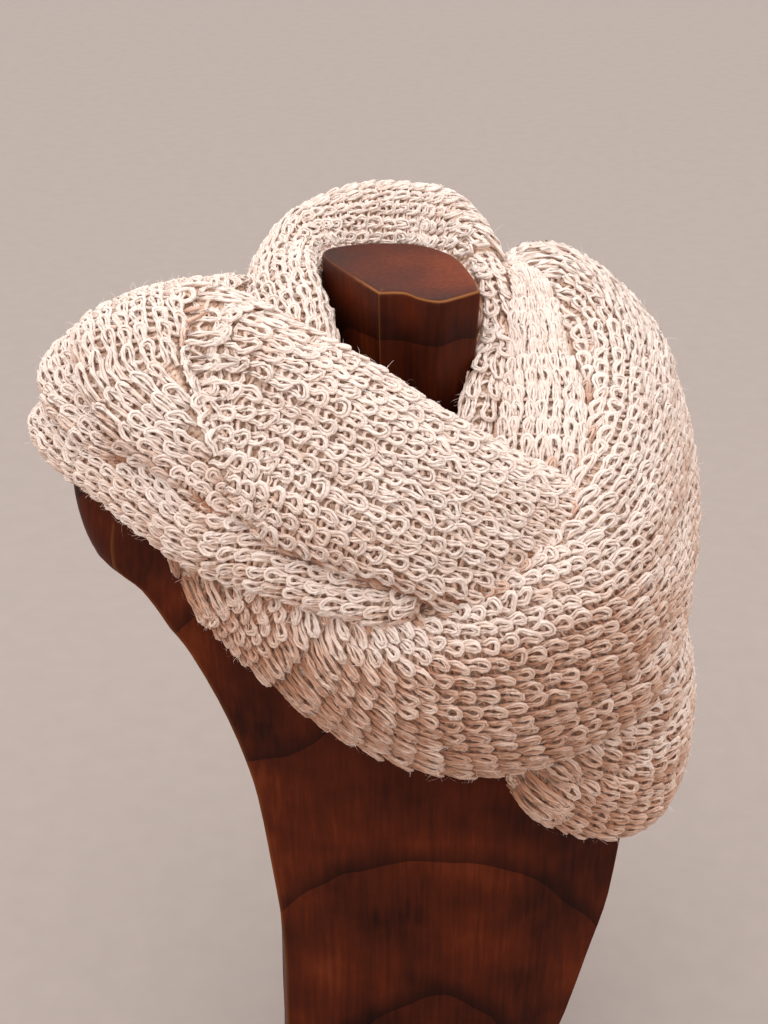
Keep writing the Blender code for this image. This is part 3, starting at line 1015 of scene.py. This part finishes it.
def add_ramp(tree, source, *stops):
    """A colour ramp with a colour at each of its stops, from the first to the last."""
    made = tree.nodes.new("ShaderNodeValToRGB")
    elements = made.color_ramp.elements
    for element, (position, colour) in zip(list(elements), (stops[0], stops[-1])):
        element.position = position
        element.color = (*colour, 1)
    for position, colour in stops[1:-1]:
        elements.new(position).color = (*colour, 1)
    tree.links.new(source, made.inputs["Fac"])
    return made.outputs["Color"]


def yarn_material():
    """Cream yarn: paler where its tone is high and darker where painted shade lowers it, with soft
    patches and slanting fibres.
    """
    made, tree, shader = new_material("cream_yarn")
    place = add_node(tree, "TexCoord", "Object")
    patches = add_node(tree, "TexNoise", "Fac", {"Vector": place, "Scale": 60, "Detail": 4})
    tone_and_shade = add_node(tree, "Attribute", "Fac", attribute_name="tone_and_shade")
    chart = add_node(tree, "UVMap", "UV", uv_map="yarn")
    drawn = add_node(tree, "Mapping", "Vector", {"Vector": chart, "Scale": (0.5, 1.9, 1)})
    waves = {"Vector": drawn, "Scale": 1.0, "Distortion": 1.6, "Detail": 2, "Detail Scale": 1.5}
    fibre = add_node(tree, "TexWave", "Fac", waves, bands_direction="DIAGONAL")
    total = add_share(tree, fibre, 0.25, add_share(tree, patches, 0.4, tone_and_shade))
    fit = add_node(tree, "MapRange", "Result", {"Value": total, "From Min": -0.6, "From Max": 0.9})
    # the darker stops of the ramp carry the painted shade of valleys, seams and undersides
    colour = add_ramp(
        tree,
        fit,
        (0, (0.36, 0.15, 0.08)),
        (0.27, (0.52, 0.27, 0.17)),
        (0.52, (0.74, 0.54, 0.44)),
        (0.74, (0.85, 0.72, 0.65)),
        (1, (0.88, 0.80, 0.74)),
    )
    looks = {
        "Base Color": colour,
        "Roughness": 0.8,
        "Specular IOR Level": 0.1,
        "Sheen Weight": 0.3,
        "Sheen Roughness": 0.5,
        "Sheen Tint": (1.0, 0.93, 0.86, 1),
        # a painted glow, standing in for light that has soaked through the loose strands
        "Emission Color": (0.80, 0.45, 0.30, 1),
        "Emission Strength": 0.05,
    }
    feed(tree, shader, looks)
    return made


def shell_material():
    """The depth of the knit: tan, matted loops with painted shade in the small hollows between them.
    """
    made, tree, shader = new_material("cloth_depth")
    place = add_node(tree, "TexCoord", "Object")
    fibre = add_node(tree, "TexNoise", "Fac", {"Vector": place, "Scale": 420, "Detail": 4})
    cells = {"Vector": place, "Scale": 230}
    loops = add_node(tree, "TexVoronoi", "Distance", cells, feature="DISTANCE_TO_EDGE")
    mix = add_share(tree, loops, 0.9, fibre)
    stops = (0.42, (0.30, 0.16, 0.10)), (0.62, (0.64, 0.45, 0.34)), (0.85, (0.80, 0.64, 0.54))
    bump = add_node(tree, "Bump", "Normal", {"Strength": 0.6, "Distance": 0.001, "Height": mix})
    looks = {"Roughness": 0.95, "Specular IOR Level": 0.1, "Normal": bump}
    feed(tree, shader, {"Base Color": add_ramp(tree, mix, *stops), **looks})
    return made


def wood_material():
    """Reddish brown wood: arched growth lines, fine upright grain, and pale worn edges."""
    made, tree, shader = new_material("carved_wood")
    place = add_node(tree, "TexCoord", "Object")
    fitted = {"Vector": place, "Location": (-0.05, 0.055, -0.034), "Scale": (1.25, 1.0, 0.8)}
    arches = add_node(tree, "Mapping", "Vector", fitted)
    warp = add_node(tree, "TexNoise", "Color", {"Vector": place, "Scale": 9, "Detail": 2})
    warped = {0: warp, 1: (0.05, 0.05, 0.05), 2: arches}
    bent = add_node(tree, "VectorMath", "Vector", warped, operation="MULTIPLY_ADD")
    rings = add_node(
        tree,
        "TexWave",
        "Fac",
        {"Vector": bent, "Scale": 3.4, "Distortion": 0.6, "Detail": 2},
        wave_type="RINGS",
        rings_direction="SPHERICAL",
        wave_profile="SAW",
    )
    lines = add_ramp(tree, rings, (0, (0.25,) * 3), (0.16, (1, 1, 1)), (0.92, (0.86,) * 3))
    upright = add_node(tree, "Mapping", "Vector", {"Vector": place, "Scale": (1, 1, 0.06)})
    grain = add_node(tree, "TexNoise", "Fac", {"Vector": upright, "Scale": 320, "Detail": 4})
    cloud = add_node(tree, "TexNoise", "Fac", {"Vector": place, "Scale": 14, "Detail": 4})
    stops = (0.45, (0.020, 0.0035, 0.0015)), (0.72, (0.085, 0.013, 0.003)), (1, (0.19, 0.034, 0.008))
    tint = add_ramp(tree, add_share(tree, grain, 0.32, cloud), *stops)
    layers = {"Fac": 0.9, "Color1": tint, "Color2": lines}
    lined = add_node(tree, "MixRGB", "Color", layers, blend_type="MULTIPLY")
    wear = add_node(tree, "Attribute", "Fac", attribute_name="wear")
    bare = {"Fac": wear, "Color1": lined, "Color2": (0.34, 0.13, 0.035, 1)}
    looks = {
        "Base Color": add_node(tree, "MixRGB", "Color", bare),
        "Specular IOR Level": 0.1,
        "Roughness": add_node(
            tree, "MapRange", "Result", {"Value": cloud, "To Min": 0.42, "To Max": 0.62}
        ),
        "Normal": add_node(
            tree, "Bump", "Normal", {"Strength": 0.25, "Distance": 0.0006, "Height": grain}
        ),
    }
    feed(tree, shader, looks)
    return made


def closed_curve(corners, sharp, steps):
    """A smooth closed outline through corners, with a hard bend at the sharp ones."""
    count = len(corners)
    line = []
    for k in range(count):
        before = corners[k] if k in sharp else corners[k - 1]
        here, there = corners[k], corners[(k + 1) % count]
        after = there if (k + 1) % count in sharp else corners[(k + 2) % count]
        ends = [np.array(point, dtype=float) for point in (before, here, there, after)]
        line += [curve_between(*ends, t) for t in np.arange(steps) / steps]
    return np.array(line)


def reach_of(outline, angles):
    """How far an outline round the origin reaches in each direction."""
    around = np.arctan2(outline[:, 1], outline[:, 0]) % FULL_TURN
    order = np.argsort(around)
    far = np.linalg.norm(outline, axis=1)[order]
    return np.interp(angles, around[order], far, period=FULL_TURN)


def bust_section(row, angles):
    """The bust's outline at one row of its table, with a carved corner on each side in front."""
    height, half_width, half_depth, centre_x, centre_y, power = row
    x = signed_power(np.cos(angles), 2 / power)
    y = signed_power(np.sin(angles), 2 / power)
    low = np.clip((CARVED_TOP - height) / CARVED_FADE, 0, 1)
    for side, t in ((-1, (angles - math.pi) / QUARTER), (1, (FULL_TURN - angles) / QUARTER)):
        front = (t >= 0) & (t <= 1)
        flank = np.clip(t / CORNER_SHARE, 0, 1)
        face = np.clip((t - CORNER_SHARE) / (1 - CORNER_SHARE), 0, 1)
        corner_x = 1 - CORNER_INSET / half_width
        new_x = side * np.where(t < CORNER_SHARE, 1 - flank * (1 - corner_x), corner_x * (1 - face))
        front_y = CORNER_DEPTH + (1 - CORNER_DEPTH) * np.sin(face * math.pi / 2)
        new_y = -np.where(t < CORNER_SHARE, flank * CORNER_DEPTH, front_y)
        x = np.where(front, x + low * (new_x - x), x)
        y = np.where(front, y + low * (new_y - y), y)
    points = np.stack([centre_x + half_width * x, centre_y + half_depth * y], axis=1)
    return np.column_stack([points, np.full(len(angles), height)])


def bust_wear(points, angles, carved, sharp):
    """How worn each point is: along the carved corners, the neck's sharp ones and its rim."""
    heights = points[:, 0, 2]
    wear = np.zeros(points.shape[:2])
    for mark in carved + sharp:
        wear[:, np.abs(angles - mark) < MARK_WIDTH] = CORNER_WEAR
    wear[(heights > CARVED_TOP) & (heights < NECK_BASE)] = 0
    wear[: np.argmax(heights > CARVED_TOP), [np.argmin(np.abs(angles - m)) for m in sharp]] = 0
    for mark in carved:
        wear[np.ix_(heights >= NECK_BASE, np.abs(angles - mark) < MARK_WIDTH)] = 0
    wear[-3:-2] = RIM_WEAR * np.clip(-points[-3, :, 1] / RIM_FADE, RIM_LEAST, 1)
    return wear


def bust_points():
    """The bust in fine rows, from its flat base to the top of the neck block, and its wear."""
    even = np.arange(BUST_STEPS) * 2 * math.pi / BUST_STEPS
    corner = QUARTER * CORNER_SHARE
    carved = [math.pi + corner, FULL_TURN - corner]
    sharp = [math.atan2(NECK_CORNERS[k][1], NECK_CORNERS[k][0]) % FULL_TURN for k in NECK_SHARP]
    beside = [[mark - MARK_SPACE, mark, mark + MARK_SPACE] for mark in carved + sharp]
    angles = np.sort(np.concatenate([even] + beside))
    last = len(BUST_RINGS) - 1
    places = np.linspace(0, last, last * BUST_ROWS + 1)
    rows = [bust_section(row, angles) for row in steady(BUST_RINGS, places)]
    reach = reach_of(closed_curve(NECK_CORNERS, NECK_SHARP, NECK_STEPS), angles)
    around = np.stack([np.cos(angles), np.sin(angles)], axis=1)
    for height, share, inset in NECK_ROWS:
        outline = around * (reach * share - inset)[:, None]
        rows.append(np.column_stack([outline, np.full(len(angles), height)]))
    points = np.array(rows)
    return points, bust_wear(points, angles, carved, sharp)


def bust_mesh():
    """The carved bust as one closed mesh."""
    points, wear = bust_points()
    high, wide = points.shape[:2]
    index = np.arange(high * wide).reshape(high, wide)
    after = np.roll(index, -1, axis=1)
    faces = np.stack([index[:-1], after[:-1], after[1:], index[1:]], axis=-1).reshape(-1, 4)
    shape = bmesh.new()
    corners = [shape.verts.new(point * MM) for point in points.reshape(-1, 3)]
    for face in faces:
        shape.faces.new([corners[k] for k in face])
    shape.faces.new([corners[k] for k in index[0][::-1]])
    shape.faces.new([corners[k] for k in index[-1]])
    bmesh.ops.recalc_face_normals(shape, faces=shape.faces)
    mesh = bpy.data.meshes.new("bust")
    shape.to_mesh(mesh)
    shape.free()
    add_values(mesh, "wear", wear.ravel())
    mesh.shade_smooth()
    mesh.set_sharp_from_angle(angle=math.radians(SHARP_ANGLE))
    return mesh


def add_bust():
    bust = show("carved_bust", bust_mesh(), wood_material())
    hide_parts("bust_form")


def in_batches(paths, chance):
    """The strands of all yarns, shared out so that no piece gets too many triangles."""
    batches, filled = [[]], 0
    for path, ways, shade in paths:
        tubes = yarn_rings(path, ways, shade, chance)
        triangles = sum(2 * rings.shape[0] * rings.shape[1] for rings, _, _ in tubes)
        if filled + triangles > MOST_TRIANGLES:
            batches.append([])
            filled = 0
        batches[-1] += tubes
        filled += triangles
    return batches


def knit(stretch, cloth, tree, everything, look, chance):
    """The yarn of one stretch, as pieces of a fair size."""
    course = Course(cloth, tree, everything, chance, stretch.counted)
    courses = [course]
    if stretch.name in EDGING:
        other = OTHER_EDGE[stretch.counted]
        edging = Course(cloth, tree, everything, chance, other, EDGING[stretch.name])
        course.clear(edging)
        courses.append(edging)
    paths, tucks = [], []
    for course in courses:
        laid = course.paths()
        paths += laid[0]
        tucks += laid[1]
    pieces = []
    for k, tubes in enumerate(in_batches(paths, chance)):
        name = "%s_yarn_%d" % (stretch.name, k + 1)
        pieces.append(show(name, tube_mesh(name, tubes), look))
    name = stretch.name + "_tucks"
    tubes = [tuck_rings(*strand, chance) for strand in tucks]
    pieces.append(show(name, tube_mesh(name, tubes), look))
    name = stretch.name + "_fuzz"
    pieces.append(show(name, fuzz_mesh(name, paths, chance), look))
    return pieces


def add_scarf():
    yarn_look = yarn_material()
    shell_look = shell_material()
    chance = np.random.default_rng(SEED)
    everything = wall_tree(*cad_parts)
    for stretch in STRETCHES:
        cloth = Cloth(stretch)
        tree = wall_tree(stretch.name, *UNDER.get(stretch.name, ()))
        pieces = knit(stretch, cloth, tree, everything, yarn_look, chance)
        name = stretch.name + "_shell"
        shell = show(name, shell_mesh(name, cloth, tree), shell_look)
        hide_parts(stretch.name)


def add_camera():
    data = bpy.data.cameras.new("camera")
    data.sensor_width = SENSOR_WIDTH
    data.lens = SENSOR_WIDTH * FOCAL_PIXELS / PICTURE_HEIGHT
    made = bpy.data.objects.new("camera", data)
    made.location = Vector(CAMERA_PLACE) * MM
    made.rotation_euler = (math.radians(90 - CAMERA_TILT), 0, 0)
    bpy.context.scene.collection.objects.link(made)
    bpy.context.scene.camera = made


def floor_material():
    made, tree, shader = new_material("pale_floor")
    place = add_node(tree, "TexCoord", "Object")
    noise = add_node(tree, "TexNoise", "Fac", {"Vector": place, "Scale": 40, "Detail": 5})
    stops = [(k, [shade * part for part in FLOOR_COLOUR]) for k, shade in enumerate(FLOOR_SHADES)]
    feed(tree, shader, {"Base Color": add_ramp(tree, noise, *stops), "Roughness": 0.9})
    return made


def add_floor():
    mesh = bpy.data.meshes.new("floor")
    corners = [(x * FLOOR_REACH, y * FLOOR_REACH, 0) for x, y in ((-1, -1), (1, -1), (1, 1), (-1, 1))]
    mesh.from_pydata(corners, [], [(0, 1, 2, 3)])
    mesh.materials.append(floor_material())
    made = bpy.data.objects.new("floor", mesh)
    bpy.context.scene.collection.objects.link(made)


def area_light(name, place, target, size, power, colour):
    data = bpy.data.lights.new(name, "AREA")
    data.shape = "DISK"
    data.size = size
    data.energy = power
    data.color = colour
    made = bpy.data.objects.new(name, data)
    made.location = place
    made.rotation_euler = (Vector(target) - Vector(place)).to_track_quat("-Z", "Y").to_euler()
    bpy.context.scene.collection.objects.link(made)


def add_lights():
    world = bpy.data.worlds.new("studio")
    bpy.context.scene.world = world
    world.use_nodes = True
    tree = world.node_tree
    place = add_node(tree, "TexCoord", "Generated")
    height = add_node(tree, "SeparateXYZ", "Z", {"Vector": place})
    sky = add_ramp(tree, height, (0, (0.50, 0.44, 0.40)), (SKY_BAND, (1.0, 0.97, 0.95)))
    feed(tree, tree.nodes["Background"], {"Color": sky, "Strength": SKY_STRENGTH})
    area_light("key", (-0.3, -0.55, 2.3), (0, 0, 0.5), 2.0, 13, (1, 0.98, 0.97))


bpy.context.scene.view_settings.view_transform = "Standard"
add_camera()
add_floor()
add_lights()
add_bust()
add_scarf()
